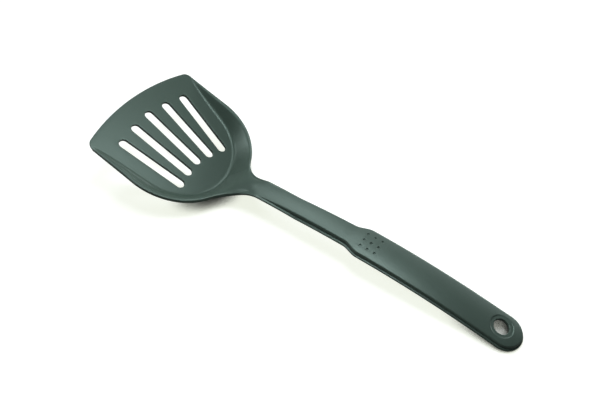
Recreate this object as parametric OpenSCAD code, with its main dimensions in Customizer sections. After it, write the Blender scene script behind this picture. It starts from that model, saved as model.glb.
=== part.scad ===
// One-piece moulded slotted turner, lying as it lies on a table: heel and handle tip touch it.
// X runs from the blade's front edge to the handle's tip, Y across the blade, Z up from the table.
// The head is drawn from a datum: the centre of its rounded heel, on the top of the blade floor.

/* [Blade] */
// Width of the head across its walls
blade_w = 107; // [96:1:116]
// Angle of the blade floor to the table
blade_tilt = 29.3; // [26:0.1:32]
// From the heel's centre forward along the floor to the middle of the front edge
front_reach = 55.5; // [52:0.5:62]
// Radius of the curved front edge
front_r = 160; // [130:5:240]
// Radius of the two front corners
corner_r = 6; // [3:0.5:9]
// Thickness of the moulding everywhere but at its lip and its front edge
skin_t = 2.8; // [2.2:0.1:3.2]
// Thickness left at the front edge
edge_t = 1; // [0.6:0.1:1.4]
// Length of the bevel under the front edge
bevel_l = 9; // [5:1:13]

/* [Slots] */
// Number of slots
slot_count = 5; // [3:2:5]
// Width of a slot
slot_w = 7.1; // [5:0.1:7.6]
// From the front edge back to the centre of the middle slot's front end
front_web = 18.9; // [17:0.1:28]
// From the centre of the middle slot's rear end back to the floor's rear edge
rear_web = 26.2; // [24:0.1:30]
// Angle from one slot to the next
slot_step_a = 4.87; // [4.7:0.01:5.1]
// Radius of the fan on which the slots' rear ends lie
slot_fan_r = 147.9; // [143:0.1:154]
// How much further back each next slot sits than the one beside it
slot_setback = 1.6; // [0:0.1:3]

/* [Scoop wall] */
// From the centre of the front corner's radius back along the floor to the wall's start
wall_setback = 0.8; // [0.4:0.1:3]
// Angle at which the rim falls towards the handle
rim_fall_a = 18.7; // [16:0.1:21]
// From the head's side in to the floor's rounded rear edge, at the foot of the wall
crease_gap = 9.9; // [8.5:0.1:12.5]
// How far the centre of that rounded edge lies ahead of the heel's centre
crease_ahead = 3; // [0:0.1:5]
// Angle by which the wall's foot opens towards the front
side_taper_a = 10.35; // [8:0.05:12]
// Run of the fillet at the foot of the wall, on either side
fillet_run = 2.5; // [1.5:0.1:3.5]
// Width of the lip along the top of the wall
wall_lip_w = 2.6; // [1.8:0.1:3.2]
// Thickness of that lip
wall_lip_t = 2.9; // [2.4:0.1:3.4]
// Break of the lip's upper edge
lip_break = 0.4; // [0.2:0.05:0.5]

/* [Neck] */
// From where the ramp starts to bend over back to where the neck begins
bend_back = 7.3; // [6:0.1:9]
// Radius in plan where the head runs into the neck
neck_r = 30; // [24:1:36]
// Height of the rim's lowest point, under the heel's centre
rim_low = 6.9; // [6:0.1:8]
// From the rim's lowest point back to where the neck's radius ends
rim_low_back = 21.2; // [18:0.1:25]
// From where the neck's radius ends back to the end of the neck
neck_run = 4.8; // [3.8:0.1:10]

/* [Handle] */
// Half width of the shaft's top beside the neck
shaft_half_w = 7.2; // [6.2:0.1:8]
// Half width of the shaft's top beside the shoulder
shaft_end_half_w = 7.9; // [7:0.1:9]
// Half width of the grip's top
grip_half_w = 11.45; // [10:0.05:12.5]
// Radius of the arch along the handle's top edges
arch_r = 590; // [520:10:700]
// From the heel's centre back to the arch's crest
crest_x = 129.3; // [124:0.1:135]
// Height of the arch's crest above the heel's centre
crest_z = 1.5; // [0:0.1:3]
// Radius of the crown across the handle
crown_r = 60; // [50:1:90]
// Height of the handle's side from the shaft's middle to the shoulder
side_h = 4.6; // [4:0.1:6]
// Height of the handle's side at its tip
tip_side_h = 3.8; // [3.6:0.1:5]
// Width of the lip beside the neck and the shaft
shaft_lip_w = 1.8; // [1.4:0.1:2.2]
// Width of the lip beside the grip
grip_lip_w = 1.3; // [1:0.1:1.7]
// Thickness of the lip beside the handle
lip_t = 1.6; // [1.2:0.1:1.8]
// From the heel's centre back to where the shaft starts to widen
taper_x = 102.6; // [96:0.1:110]
// From the heel's centre back to the start of the shoulder
shoulder_x = 153.6; // [148:0.1:158]
// Length of the shoulder, over which the shaft widens to the grip
shoulder_l = 12.5; // [9:0.5:16]
// From the start of the shoulder back to the centre of the round tip
grip_l = 115.9; // [106:0.5:126]

/* [Thumb rest] */
// Rows of dimples, and dimples in a row
dimple_count = 3; // [2:1:3]
// Diameter of a dimple
dimple_d = 2; // [1.4:0.1:2.6]
// Depth of a dimple
dimple_depth = 0.7; // [0.4:0.1:1]
// Distance from one dimple to the next
dimple_pitch = 5.65; // [4.5:0.05:6]
// From the start of the shoulder back to the middle dimple
dimple_back = 17; // [15:0.1:22]

/* [Hanging hole] */
// Diameter of the hanging hole
hole_d = 10.4; // [8:0.1:11]
// How far the hole lies ahead of the centre of the round tip
hole_ahead = 3; // [1:0.1:4]
// Diameter of the shallow dish round the hole
dish_d = 16; // [14:0.1:17]
// Height of the dish's floor above the handle's top edges
dish_rise = 0.5; // [0.3:0.05:0.7]

/* [Hidden] */

nylon = [0.33, 0.41, 0.38];
round_fn = 48;
arch_fn = 1440;

// The head's half width and the plan fillet from the head to the neck.
half_w = blade_w/2;
neck_half_w = shaft_half_w + shaft_lip_w;
fillet_y = neck_half_w + neck_r;
fillet_x = sqrt(pow(half_w + neck_r, 2) - pow(fillet_y, 2));
neck_start_a = atan2(fillet_y, fillet_x);
rim_low_x = fillet_x - rim_low_back;
neck_end_x = fillet_x + neck_run;

// The neck begins at a plane across the handle, part of the way along that fillet.
neck_start_share = 0.76;
cut_x = fillet_x*neck_start_share;
cut_y = rim_half_w(cut_x);
cut_a = atan2(cut_y, cut_x);

// The fall of the floor and of the rim per unit of length.
floor_fall = tan(blade_tilt);
rim_fall = tan(rim_fall_a);
rim_line_end_share = 0.58;
rim_line_end_x = rim_low_x*rim_line_end_share;

// The centres of the front edge and of its corners, along the floor from the datum and to the side.
front_centre = front_r - front_reach;
corner_y = half_w - corner_r;
corner_x = front_centre - sqrt(pow(front_r - corner_r, 2) - pow(corner_y, 2));

// The wall starts behind the corner, and its rim leaves the floor there.
wall_start = [corner_x + wall_setback, half_w];
wall_start_x = wall_start[0]*cos(blade_tilt);
wall_start_a = atan2(half_w, wall_start_x);
wall_h = -wall_start_x*(floor_fall - rim_fall);

// The foot of the wall in plan: a circle on the tilted floor, seen as an ellipse, and two straight sides.
crease_r = half_w - crease_gap;
crease_x = -crease_ahead*cos(blade_tilt);
crease_rx = crease_r*cos(blade_tilt);
crease_side_u = crease_ahead - crease_r*sin(side_taper_a);
crease_side_v = crease_r*cos(side_taper_a);
crease_side_a = atan2(crease_side_v, -crease_side_u*cos(blade_tilt));

// The slots lie between the floor's front edge and its rear edge.
slot_back = crease_r - crease_ahead - rear_web;
slot_l = slot_back + front_reach - front_web;

// The ramp starts at the rear of the crease, climbs straight and meets the handle's arch by a parabola.
ramp_start_x = crease_x + crease_rx;
ramp_start_z = -ramp_start_x*floor_fall;
blend_end_share = 0.977;
blend_end_x = fillet_x*blend_end_share;
blend_end_z = edge_z(blend_end_x) + crown_h(shaft_half_w);
blend_end_rise = edge_rise(blend_end_x);
blend_x = cut_x - bend_back;
blend_l = blend_end_x - blend_x;
ramp_rise = (blend_end_z - ramp_start_z - blend_end_rise*blend_l/2)/(blend_x - ramp_start_x + blend_l/2);

// Steps of the skins.
wall_steps = 22;
heel_steps = 5;
neck_steps = 12;
shaft_steps = 14;
shoulder_steps = 12;
grip_steps = 12;
crown_steps = 6;
fillet_steps = 4;
roll_steps = 3;
turn_step_a = 0.5;
front_steps = 24;
corner_steps = 8;

// Shares by which the wall's profile is drawn in where the wall runs out.
third_share = 1/3;
roll_share = 0.45;
fade_share = 0.18;

// How far round, as a share of the angle to the neck's fillet, the slope is drawn to the neck's form.
neck_form_share = 1.6;

// Where the handle is parted, from the neck's end to its tip.
dimple_x = shoulder_x + dimple_back;
tip_x = shoulder_x + grip_l;
shoulder_start_x = shoulder_x - shaft_end_half_w/2;
dimple_reach = dimple_pitch*(dimple_count - 1)/2;
thumb_start_x = dimple_x - dimple_reach - dimple_d;
thumb_end_x = dimple_x + dimple_reach + dimple_d*3;
hanging_start_x = tip_x - hole_ahead - dish_d;
side_full_share = 0.452;
side_full_x = neck_end_x + (shoulder_x - neck_end_x)*side_full_share;
wall_draft_share = 0.08;

// Square to the floor, downwards.
floor_down = [-sin(blade_tilt), 0, -cos(blade_tilt)];

// The turner rests on the heel's underside and on the tip's lip. It is turned by the small angle that
// brings both to the table, then moved so that the origin is the bottom centre of its box.
hang_a = arch_a(hanging_start_x);
tip_run = (tip_x - hanging_start_x)/cos(hang_a);
tip_reach = tip_run + grip_half_w + grip_lip_w;
tip_lip_top = tip_side_h - lip_t + lip_break;
function on_hanging_plane(run, drop) =
    [hanging_start_x + run*cos(hang_a) - drop*sin(hang_a),
     edge_z(hanging_start_x) - run*sin(hang_a) - drop*cos(hang_a)];
tip_low = on_hanging_plane(tip_reach, tip_side_h);
tip_far = on_hanging_plane(tip_reach, tip_lip_top);
front_low = [-front_reach*cos(blade_tilt) - edge_t*sin(blade_tilt),
             front_reach*sin(blade_tilt) - edge_t*cos(blade_tilt)];
heel_points = [for (p = ray_under(0)) [p[0], p[2]]];
settle_a = max([for (p = heel_points) if (p[0] < cut_x) atan2(tip_low[1] - p[1], tip_low[0] - p[0])]);
function settled(p) = [p[0]*cos(settle_a) + p[1]*sin(settle_a), p[1]*cos(settle_a) - p[0]*sin(settle_a)];
base_z = settled(tip_low)[1];
middle_x = (settled(front_low)[0] + settled(tip_far)[0])/2;

// Small helpers.
function mix(a, b, k) = a + (b - a)*k;
function clamp(k) = min(1, max(0, k));
function smooth(k) = pow(clamp(k), 2)*(3 - 2*clamp(k));
function unit(v) = v/norm(v);
function flat(rows) = [for (row = rows) each row];
function steps(from, to, count) = [for (i = [0:count]) mix(from, to, i/count)];
function bend(a, b, c, count) =
    [for (i = [0:count]) let (k = i/count) a*pow(1 - k, 2) + b*2*k*(1 - k) + c*pow(k, 2)];
// A cubic from height z0 and slope m0 at x0 to height z1 and slope m1 at x1.
function ease(x, x0, z0, m0, x1, z1, m1) =
    let (l = x1 - x0, k = (x - x0)/l)
    z0*(2*pow(k, 3) - 3*pow(k, 2) + 1) + m0*l*(pow(k, 3) - 2*pow(k, 2) + k)
    + z1*(3*pow(k, 2) - 2*pow(k, 3)) + m1*l*(pow(k, 3) - pow(k, 2));

// The arch of the handle's top edges: its angle, height and slope at a distance from the datum.
function arch_a(x) = asin((x - crest_x)/arch_r);
function edge_z(x) = crest_z - arch_r + arch_r*cos(arch_a(x));
function edge_rise(x) = -tan(arch_a(x));
function crown_h(half) = pow(half, 2)/(2*crown_r);

// The rim in plan: half a circle round the heel, straight ahead of it, then the fillet to the neck.
function rim_half_w(x) =
    x < fillet_x ? fillet_y - sqrt(pow(neck_r, 2) - pow(x - fillet_x, 2)) : neck_half_w;
function rim_dist(a) =
    a >= 90 ? half_w/sin(a) :
    a >= neck_start_a ? half_w :
    a <= cut_a ? cut_x/cos(a) :
    let (b = fillet_x*cos(a) + fillet_y*sin(a))
    b - sqrt(pow(b, 2) - pow(half_w + neck_r, 2) + pow(neck_r, 2));

// The rim's height: falling to its lowest point, then up to the handle's top edge.
function rim_z(x) =
    x < rim_line_end_x ? wall_h - rim_fall*x :
    x < rim_low_x ? ease(x, rim_line_end_x, wall_h - rim_fall*rim_line_end_x, -rim_fall,
                         rim_low_x, -rim_low, 0) :
    x < neck_end_x ? ease(x, rim_low_x, -rim_low, 0,
                          neck_end_x, edge_z(neck_end_x), edge_rise(neck_end_x)) :
    edge_z(x);

// The wall's foot in plan: the distance to it from the datum along a ray.
function crease_dist(a) =
    a > crease_side_a
    ? (crease_side_v - crease_side_u*tan(side_taper_a))/(sin(a) + cos(a)*tan(side_taper_a)/cos(blade_tilt))
    : let (p = pow(cos(a)/crease_rx, 2) + pow(sin(a)/crease_r, 2),
           q = -crease_x*cos(a)/pow(crease_rx, 2),
           s = pow(crease_x/crease_rx, 2) - 1)
      (-q + sqrt(pow(q, 2) - p*s))/p;

// The middle line from the ramp to the handle: its height and slope.
function middle_z(x) =
    x < blend_x ? ramp_start_z + ramp_rise*(x - ramp_start_x) :
    x < blend_end_x ? ease(x, blend_x, ramp_start_z + ramp_rise*(blend_x - ramp_start_x), ramp_rise,
                           blend_end_x, blend_end_z, blend_end_rise) :
    edge_z(x) + crown_h(shaft_half_w);
function middle_rise(x) =
    x < blend_end_x ? mix(ramp_rise, blend_end_rise, clamp((x - blend_x)/blend_l)) : edge_rise(x);

// Height of the neck's top, also ahead of the neck: the rim, and a parabola across to the middle line.
function plan_half_w(x) =
    x < half_w*cos(neck_start_a) ? sqrt(pow(half_w, 2) - pow(x, 2)) : rim_half_w(x);
function neck_z(x, y) =
    let (top_half = plan_half_w(x) - shaft_lip_w, edge = rim_z(x))
    edge + (middle_z(x) - edge)*(1 - pow(min(1, y/top_half), 2));

// Towards the neck the slope takes on the neck's own form, most at its upper end.
function neck_share(a) = 1 - smooth((a - cut_a)/(neck_start_a*neck_form_share - cut_a));
function to_neck(points, a, foot, rim) =
    [for (p = points)
        let (up = clamp((p[0] - foot)/(rim - foot)))
        [p[0], mix(p[1], neck_z(p[0]*cos(a), p[0]*sin(a)), up*(2 - up)*neck_share(a))]];

// The profile of the wall and the ramp along a ray from the datum, as distance and height:
// the floor, a fillet, the slope, a roll-over and the lip.
function ray_profile(a) =
    let (on_cut = a < cut_a,
         rim = rim_dist(a),
         foot = crease_dist(a),
         width = rim - foot,
         to_wall = smooth(a/neck_start_a),
         fillet = min(fillet_run, width*third_share),
         lip = mix(bend_back/2, min(wall_lip_w, width*third_share), to_wall),
         roll = mix(lip - lip_break*2, lip*roll_share, to_wall),
         lip_rise = mix(middle_rise(cut_x), 0, to_wall),
         rim_top = on_cut ? neck_z(cut_x, rim*sin(a)) : rim_z(rim*cos(a)),
         foot_z = -foot*cos(a)*floor_fall,
         lip_foot = rim - lip,
         lip_foot_z = rim_top - lip*mix(lip_rise, -cos(a)*floor_fall, wall_fade(a)),
         slope = (lip_foot_z - foot_z)/(lip_foot - foot),
         lip_slope = (rim_top - lip_foot_z)/lip,
         drop = on_cut ? 0 : lip_break*(1 - wall_fade(a)))
    concat(to_neck(concat(
        bend([foot - fillet, foot_z + fillet*cos(a)*floor_fall], [foot, foot_z],
             [foot + fillet, foot_z + fillet*slope], fillet_steps),
        bend([lip_foot - roll, lip_foot_z - roll*slope], [lip_foot, lip_foot_z],
             [lip_foot + roll, lip_foot_z + roll*lip_slope], roll_steps),
        [[rim - lip_break, rim_top - lip_break*lip_slope]]), a, foot, rim),
        [[rim, rim_top - drop]]);
// One at the wall's front end and nought a short way behind it.
function wall_fade(a) = 1 - smooth((wall_start_a - a)/(wall_start_a*fade_share));
function ray_top(a) = [for (p = ray_profile(abs(a))) [p[0]*cos(a), p[0]*sin(a), p[1]]];

// The lip grows thinner along the neck.
function lip_thick(x) = mix(wall_lip_t, lip_t, clamp((x - cut_x)/(neck_end_x - cut_x)));

// How far the neck's underside lies below its top where the neck begins.
function neck_thick(x) = skin_t*sqrt(1 + pow(middle_rise(x) + tan(neck_lean(x)), 2));
function cut_drop(point) =
    let (edge = rim_z(cut_x),
         low = neck_section(cut_x))
    [0, 0, edge + lookup(abs(point[1]), low) - point[2]];

// The underside of the same ray: as thick as the skin square to the surface, thinner at the lip.
function ray_under(a) =
    let (here = ray_top(a),
         before = ray_top(a - turn_step_a),
         after = ray_top(a + turn_step_a),
         last = len(here) - 1,
         on_cut = abs(a) < cut_a,
         fade = wall_fade(abs(a)))
    [for (j = [0:last])
        let (square = unit(cross(here[min(j + 1, last)] - here[max(j - 1, 0)], after[j] - before[j])),
             down = j == 0 ? floor_down*skin_t :
                    j < last - 1 ? -square*skin_t :
                    on_cut ? (j == last ? cut_drop(here[j]) : -square*skin_t) :
                           [0, 0, j == last ? lip_break - wall_lip_t : -wall_lip_t])
        here[j] + mix(down, floor_down*skin_t, fade)];

// A cross-section of the neck or handle in a plane that leans by an angle, from one lip to the other.
// It is given as points to the side and above the top edge.
function section_top(half, crown, step, lip) =
    let (side = [for (s = steps(0, 1, crown_steps)) [half*s, crown*(1 - pow(s, 2))]],
         out = half + wall_draft_share*step,
         lips = [[out + lip_break/2, -step],
                 [half + lip - lip_break, -step],
                 [half + lip, -step - lip_break]])
    concat(side, lips);
function section_under(half, crown, step, lip, thick, lip_thick) =
    let (hollow = clamp((step + lip_thick - thick)/lip_thick),
         side = [for (s = steps(0, 1, crown_steps)) [(half - skin_t)*s, crown*(1 - pow(s, 2)) - thick]],
         low = -step - lip_thick,
         lips = [[mix(half, half + wall_draft_share*step - skin_t, hollow), min(low, -thick)],
                 [half + lip - lip_break, low],
                 [half + lip, low]])
    concat(side, lips);
function both_sides(points) =
    concat([for (j = [len(points) - 1:-1:1]) [-points[j][0], points[j][1]]], points);
function placed(points, x, z, lean) =
    [for (p = both_sides(points)) [x + p[1]*sin(lean), p[0], z + p[1]*cos(lean)]];

// Sizes of the handle's section along it.
function widening(x) = smooth((x - shoulder_x)/shoulder_l);
function top_half_w(x) =
    let (shaft_w = mix(shaft_half_w, shaft_end_half_w, clamp((x - taper_x)/(shoulder_x - taper_x))))
    mix(shaft_w, grip_half_w, widening(x));
function lip_w(x) = mix(shaft_lip_w, grip_lip_w, widening(x));
function side_step(x) =
    x < side_full_x
    ? (side_h - lip_t)*clamp((x - neck_end_x)/(side_full_x - neck_end_x))
    : mix(side_h, tip_side_h, clamp((x - shoulder_x)/(hanging_start_x - shoulder_x))) - lip_t;

function neck_lean(x) = mix(0, arch_a(neck_end_x), (x - cut_x)/(neck_end_x - cut_x));
function neck_top(x) =
    let (edge = rim_z(x))
    placed(section_top(rim_half_w(x) - shaft_lip_w, middle_z(x) - edge, 0, shaft_lip_w),
           x, edge, neck_lean(x));
function neck_section(x) = section_under(rim_half_w(x) - shaft_lip_w, middle_z(x) - rim_z(x), 0,
                                         shaft_lip_w, neck_thick(x), lip_thick(x));
function neck_under(x) = placed(neck_section(x), x, rim_z(x), neck_lean(x));
function handle_top(x) =
    placed(section_top(top_half_w(x), crown_h(top_half_w(x)), side_step(x), lip_w(x)),
           x, edge_z(x), arch_a(x));
function handle_under(x) =
    placed(section_under(top_half_w(x), crown_h(top_half_w(x)), side_step(x), lip_w(x), skin_t, lip_t),
           x, edge_z(x), arch_a(x));

// A solid between an upper and a lower grid of points, closed along its four edges.
module thick_sheet(upper, lower) {
    rows = len(upper);
    cols = len(upper[0]);
    under = rows*cols;
    top_faces = [for (i = [0:rows - 2], j = [0:cols - 2])
        let (a = i*cols + j, b = a + cols) each [[a, a + 1, b + 1], [a, b + 1, b]]];
    low_faces = [for (face = top_faces) [face[0] + under, face[2] + under, face[1] + under]];
    side_faces = [for (i = [0:rows - 2], j = [0, cols - 1])
        let (a = i*cols + j, b = a + cols, c = a + under, d = b + under)
        each j == 0 ? [[a, b, d], [a, d, c]] : [[a, d, b], [a, c, d]]];
    end_faces = [for (i = [0, rows - 1], j = [0:cols - 2])
        let (a = i*cols + j, b = a + 1, c = a + under, d = b + under)
        each i == 0 ? [[a, d, b], [a, c, d]] : [[a, b, d], [a, d, c]]];
    polyhedron(points = concat(flat(upper), flat(lower)),
               faces = concat(top_faces, low_faces, side_faces, end_faces));
}

// Puts a piece drawn from the datum into the turner's own frame.
module set_down() {
    translate([-middle_x, 0, -base_z]) rotate([0, settle_a, 0]) children();
}

// Stands a shape on the handle's top edges at a distance along it, square to the arch.
module on_arch(x) {
    translate([x, 0, edge_z(x)]) rotate([0, arch_a(x), 0]) children();
}

wall_angles = steps(wall_start_a, neck_start_a, wall_steps);
// Along the plane where the neck begins, the rays end at the corners of the neck's section.
cut_ys = [for (p = section_top(cut_y - shaft_lip_w, 0, 0, shaft_lip_w)) p[0]];
heel_half_angles = concat(steps(neck_start_a, cut_a, heel_steps),
                          [for (k = [len(cut_ys) - 2:-1:0]) atan2(cut_ys[k], cut_x)]);
heel_angles = concat(heel_half_angles, [for (k = [len(heel_half_angles) - 2:-1:0]) -heel_half_angles[k]]);

// The outline of the floor in its own plane, from the datum towards the handle and to the side.
overrun = 1;
bevel_turn = asin(half_w/(front_r - bevel_l)) + turn_step_a;
function floor_edge(a) = let (p = ray_profile(abs(a))[0]) [p[0]*cos(a)/cos(blade_tilt), p[0]*sin(a)];
rear_outline = concat([for (a = wall_angles) floor_edge(a)], [for (a = heel_half_angles) floor_edge(a)]);

// The front edge and its corners, from the middle of the front edge to the side.
front_turn = asin(corner_y/(front_r - corner_r));
front_outline = concat(
    [for (a = steps(0, front_turn, front_steps)) [front_centre - front_r*cos(a), front_r*sin(a)]],
    [for (a = steps(front_turn, 90, corner_steps))
        [corner_x - corner_r*cos(a), corner_y + corner_r*sin(a)]]);

module floor_outline() {
    half = concat(front_outline, [wall_start], rear_outline);
    other = [for (k = [len(half) - 2:-1:1]) [half[k][0], -half[k][1]]];
    polygon(concat(half, other));
}

module slot(index) {
    fan_a = slot_step_a*index;
    rear_r = slot_fan_r - slot_setback*abs(index);
    translate([slot_back + slot_fan_r, 0]) rotate(fan_a) translate([-rear_r, 0]) {
        circle(d = slot_w, $fn = round_fn);
        translate([-slot_l, 0]) circle(d = slot_w, $fn = round_fn);
        translate([-slot_l, -slot_w/2]) square([slot_l, slot_w]);
    }
}

module slotted_floor() {
    last = (slot_count - 1)/2;
    color(nylon) set_down() rotate([0, blade_tilt, 0]) difference() {
        translate([0, 0, -skin_t]) linear_extrude(skin_t) difference() {
            floor_outline();
            for (index = [-last:last]) slot(index);
        }
        translate([front_centre, 0, 0]) rotate([0, 0, 180 - bevel_turn])
            rotate_extrude(angle = bevel_turn*2, $fn = arch_fn)
                polygon([[front_r - bevel_l, -skin_t], [front_r, -edge_t], [front_r + overrun, -edge_t],
                         [front_r + overrun, -skin_t - overrun], [front_r - bevel_l, -skin_t - overrun]]);
    }
}

module side_wall() {
    thick_sheet([for (a = wall_angles) ray_top(a)], [for (a = wall_angles) ray_under(a)]);
}

module left_wall() {
    color(nylon) set_down() side_wall();
}

module right_wall() {
    color(nylon) set_down() mirror([0, 1, 0]) side_wall();
}

module heel_ramp() {
    color(nylon) set_down()
        thick_sheet([for (a = heel_angles) ray_top(a)], [for (a = heel_angles) ray_under(a)]);
}

module neck() {
    places = steps(cut_x, neck_end_x, neck_steps);
    color(nylon) set_down()
        thick_sheet([for (x = places) neck_top(x)], [for (x = places) neck_under(x)]);
}

module handle_run(from, to, count) {
    places = steps(from, to, count);
    thick_sheet([for (x = places) handle_top(x)], [for (x = places) handle_under(x)]);
}

module shaft() {
    color(nylon) set_down() handle_run(neck_end_x, shoulder_start_x, shaft_steps);
}

module shoulder() {
    color(nylon) set_down() handle_run(shoulder_start_x, thumb_start_x, shoulder_steps);
}

module thumb_rest() {
    places = [for (k = [0:dimple_count - 1]) (k - (dimple_count - 1)/2)*dimple_pitch];
    color(nylon) set_down() difference() {
        handle_run(thumb_start_x, thumb_end_x, shoulder_steps);
        for (along = places, across = places)
            on_arch(dimple_x + along)
                translate([0, across, crown_h(grip_half_w) - crown_h(across) - dimple_depth])
                    cylinder(h = dimple_depth + overrun, d = dimple_d, $fn = round_fn);
    }
}

module grip() {
    color(nylon) set_down() handle_run(thumb_end_x, hanging_start_x, grip_steps);
}

// The handle's section at its tip, above and below.
function tip_top() = section_top(grip_half_w, crown_h(grip_half_w), tip_side_h - lip_t, grip_lip_w);
function tip_under() =
    section_under(grip_half_w, crown_h(grip_half_w), tip_side_h - lip_t, grip_lip_w, skin_t, lip_t);
function reversed(list) = [for (k = [len(list) - 1:-1:0]) list[k]];

// Drawn in the plane that touches the arch where the hanging end begins: straight, then round.
module hanging_end() {
    color(nylon) set_down() on_arch(hanging_start_x) difference() {
        union() {
            rotate([90, 0, 90]) linear_extrude(tip_run)
                polygon(concat(both_sides(tip_top()), reversed(both_sides(tip_under()))));
            translate([tip_run, 0, 0]) rotate([0, 0, -90]) rotate_extrude(angle = 180, $fn = round_fn*2)
                polygon(concat(tip_top(), reversed(tip_under())));
        }
        translate([tip_run - hole_ahead, 0, 0]) {
            translate([0, 0, dish_rise]) cylinder(h = skin_t, d = dish_d, $fn = round_fn);
            translate([0, 0, -side_h]) cylinder(h = side_h*2, d = hole_d, $fn = round_fn);
        }
    }
}

slotted_floor();
left_wall();
right_wall();
heel_ramp();
neck();
shaft();
shoulder();
thumb_rest();
grip();
hanging_end();
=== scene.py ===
import bmesh
import bpy
import numpy as np
from mathutils import Matrix, Vector


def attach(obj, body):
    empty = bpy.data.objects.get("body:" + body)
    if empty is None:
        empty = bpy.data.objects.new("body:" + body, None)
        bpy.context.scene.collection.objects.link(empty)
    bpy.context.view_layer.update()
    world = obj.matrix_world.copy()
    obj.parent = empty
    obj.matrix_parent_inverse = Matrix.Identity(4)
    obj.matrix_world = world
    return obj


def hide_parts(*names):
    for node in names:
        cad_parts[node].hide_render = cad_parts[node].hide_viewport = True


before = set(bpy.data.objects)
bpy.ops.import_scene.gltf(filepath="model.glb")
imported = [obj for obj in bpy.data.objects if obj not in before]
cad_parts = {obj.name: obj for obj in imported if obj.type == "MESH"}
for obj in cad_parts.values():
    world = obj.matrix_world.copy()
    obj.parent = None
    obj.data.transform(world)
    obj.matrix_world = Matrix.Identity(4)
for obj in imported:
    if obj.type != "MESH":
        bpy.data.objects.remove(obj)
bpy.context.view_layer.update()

# Sizes of the turner in millimetres and degrees, as in the part's source. The datum is the centre of
# the rounded heel on the top of the blade floor: X to the handle's tip, Y across, Z up.
HALF_W = 107 / 2
TILT = np.radians(29.3)
FRONT_REACH, FRONT_R, CORNER_R = 55.5, 160, 6
SKIN, EDGE_T, BEVEL_L = 2.8, 1.0, 9
SLOTS, SLOT_W, FRONT_WEB, REAR_WEB = 5, 7.1, 18.9, 26.2
SLOT_STEP, FAN_R, SLOT_SETBACK = np.radians(4.87), 147.9, 1.6
WALL_SETBACK, RIM_FALL = 0.8, np.tan(np.radians(18.7))
CREASE_GAP, CREASE_AHEAD, SIDE_TAPER = 9.9, 3, np.radians(10.35)
WALL_LIP_W, WALL_LIP_T, LIP_T = 2.6, 2.9, 1.6
BEND_BACK, NECK_R, RIM_LOW, RIM_LOW_BACK, NECK_RUN = 7.3, 30, 6.9, 21.2, 4.8
SHAFT_HALF_W, SHAFT_END_HALF_W, GRIP_HALF_W = 7.2, 7.9, 11.45
ARCH_R, CREST_X, CREST_Z, CROWN_R = 590, 129.3, 1.5, 60
SIDE_H, TIP_SIDE_H, SHAFT_LIP_W, GRIP_LIP_W = 4.6, 3.8, 1.8, 1.3
TAPER_X, SHOULDER_X, SHOULDER_L, GRIP_L = 102.6, 153.6, 12.5, 115.9
DIMPLES, DIMPLE_D, DIMPLE_DEPTH, DIMPLE_PITCH, DIMPLE_BACK = 3, 2, 0.7, 5.65, 17
HOLE_D, HOLE_AHEAD, DISH_D, DISH_RISE = 10.4, 3, 16, 0.5
# Where the part's source sets the turner down: the settling angle and the origin from the datum.
SETTLE, MIDDLE_X, BASE_Z = np.radians(0.106573), 116.283, -21.9321

# Small forms that the part's source leaves out or draws a little differently, in millimetres: the run of
# the fillet in the crease, the radii of the rounded edges, the front edge's rounding (outwards, down, and
# the run over which it starts), the dish's rim, and how far the heel's roll-over stays short of its lip.
FILLET_RUN = 2.0
LIP_ROUND, WALL_LIP_ROUND, END_ROUND, SLOT_ROUND = 0.45, 0.5, 0.1, 0.2
TOP_EDGE_ROUND, LIP_FILLET, LIP_FILLET_TOE, HOLE_ROUND = 0.8, 0.5, 0.05, 0.45
FRONT_ROUND_OUT, FRONT_ROUND_DOWN, FRONT_ROUND_RUN = 0.45, 0.42, 4
DISH_RIM_IN, DISH_RIM_W, DISH_RIM_CLEAR = 0.7, 0.9, 0.3
HEEL_ROLL_BACK = 0.8

# Shares of the lengths and angles over which forms start, end or fade, and the sides' draft.
CUT_SHARE, RIM_LINE_SHARE, BLEND_END_SHARE, SIDE_FULL_SHARE = 0.76, 0.58, 0.977, 0.452
NECK_FORM_SHARE, WALL_FADE_SHARE, WALL_ROLL_SHARE = 1.6, 0.18, 0.45
TOP_EDGE_SHARE, LIP_FILLET_SHARE, DIMPLE_FLAT_SHARE, DIMPLE_RIM_SHARE = 0.45, 0.3, 0.3, 0.24
WALL_DRAFT = 0.08

# Counts of points. Across the head: the fillet, the slope, the roll-over, the lip and its rounded edges.
FILLET_N, SLOPE_N, ROLL_N, LIP_N, ROUND_N = 10, 8, 8, 4, 5
# Across the handle: the crown, the thumb rest's crown, the top edge, the side's foot, the lip's edges and
# each straight stretch.
CROWN_N, THUMB_CROWN_N, TOP_EDGE_N, FOOT_N, LIP_EDGE_N, STRAIGHT_N = 14, 84, 6, 4, 5, 4
# Round the head: where the heel ends, the fillet of the neck, the walls, and a fine trial of all of it.
CUT_N, NECK_RAYS_N, WALL_RAYS_N, FINE_N = 14, 26, 150, 4001
# On the blade: a corner, the front's arc, the side ahead of the wall, a bound between two slots, the top
# and the underside from a bound to a slot, and a rounded rim.
CORNER_N, FRONT_N, FRONT_SIDE_N, BOUND_N, CELL_TOP_N, CELL_UNDER_N, TURN_N = 16, 111, 6, 61, 6, 12, 6
# Along the handle: the neck, the shaft, the shoulder, the thumb rest and the grip.
NECK_N, SHAFT_N, SHOULDER_N, THUMB_N, GRIP_N = 61, 101, 61, 150, 91
# On the hanging end: the rays, those to the joint, the dish, the top outside it and the underside.
END_N, JOINT_N, DISH_N, END_TOP_N, END_UNDER_N = 241, 41, 14, 12, 18

# The rays round the head: the angle of the rear ones, the share of the cut that has even steps, and how
# close a ray, or a turn along the front edge, may come to one on a bound between two slots.
REAR_A, EVEN_SHARE, RAY_CLEARANCE, TURN_CLEARANCE = np.radians(100), 0.93, 0.004, 0.003

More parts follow.
